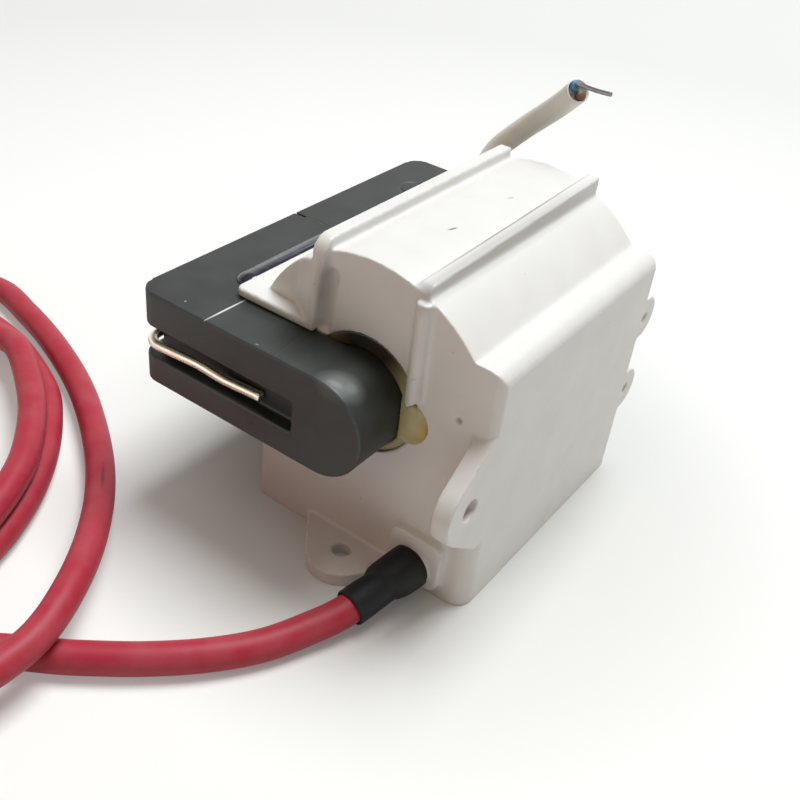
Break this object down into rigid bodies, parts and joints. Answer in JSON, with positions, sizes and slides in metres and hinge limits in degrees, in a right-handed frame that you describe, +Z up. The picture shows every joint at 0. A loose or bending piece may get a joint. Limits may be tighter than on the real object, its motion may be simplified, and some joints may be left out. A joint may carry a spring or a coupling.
{
  "type": "flyback transformer",
  "caption": "Potted high-voltage flyback transformer on a split ferrite core held by a wire clip, with screw ears, a coiled red high-voltage lead and a short white lead.",
  "frame": {"origin": "on the base plane, under the round core leg's axis, in the plane where the core halves meet", "axes": "+X from the outer core leg towards the case's shoulder, +Y along the core's legs from the lead's side to the potted back, +Z up from the base"},
  "size_m": [0.174, 0.1897, 0.081],
  "materials": {
    "case_plastic": "moulded off-white PBT, semi-gloss",
    "potting_epoxy": "cast epoxy, glossy",
    "ferrite": "sintered ferrite, ground satin",
    "spacer_film": "polyester film",
    "clip_wire": "drawn tinned spring wire",
    "amber_glue": "cured amber adhesive, glossy",
    "dark_glue": "cured blue-black adhesive, glossy",
    "bobbin_plastic": "moulded thermoplastic",
    "copper_winding": "enamelled copper wire, wound",
    "rectifier_body": "moulded epoxy",
    "shrink_tube": "shrunk polyolefin tube, satin",
    "lead_silicone": "extruded silicone rubber, satin",
    "white_jacket": "extruded PVC",
    "blue_insulation": "extruded PVC",
    "brown_insulation": "extruded PVC",
    "tinned_wire": "tinned copper wire, dulled"
  },
  "bodies": {
    "root": {"case_shell": "case_plastic", "potting": "potting_epoxy", "core_half_front": "ferrite", "core_half_rear": "ferrite", "outer_leg_spacer": "spacer_film", "round_leg_spacer": "spacer_film", "core_clip": "clip_wire", "leg_glue_front": "amber_glue", "leg_glue_rear": "amber_glue", "core_glue_bead": "dark_glue", "primary_bobbin": "bobbin_plastic", "primary_winding": "copper_winding", "secondary_former": "bobbin_plastic", "secondary_section_1": "copper_winding", "secondary_section_2": "copper_winding", "secondary_section_3": "copper_winding", "secondary_section_4": "copper_winding", "secondary_section_5": "copper_winding", "secondary_section_6": "copper_winding", "rectifier_rod_1": "rectifier_body", "rectifier_rod_2": "rectifier_body", "rectifier_rod_3": "rectifier_body", "shrink_sleeve": "shrink_tube", "hv_lead": "lead_silicone", "hv_lead_coil": "lead_silicone", "lead_jacket": "white_jacket", "blue_core": "blue_insulation", "brown_core": "brown_insulation", "bare_wire": "tinned_wire"}
  },
  "joints": []
}
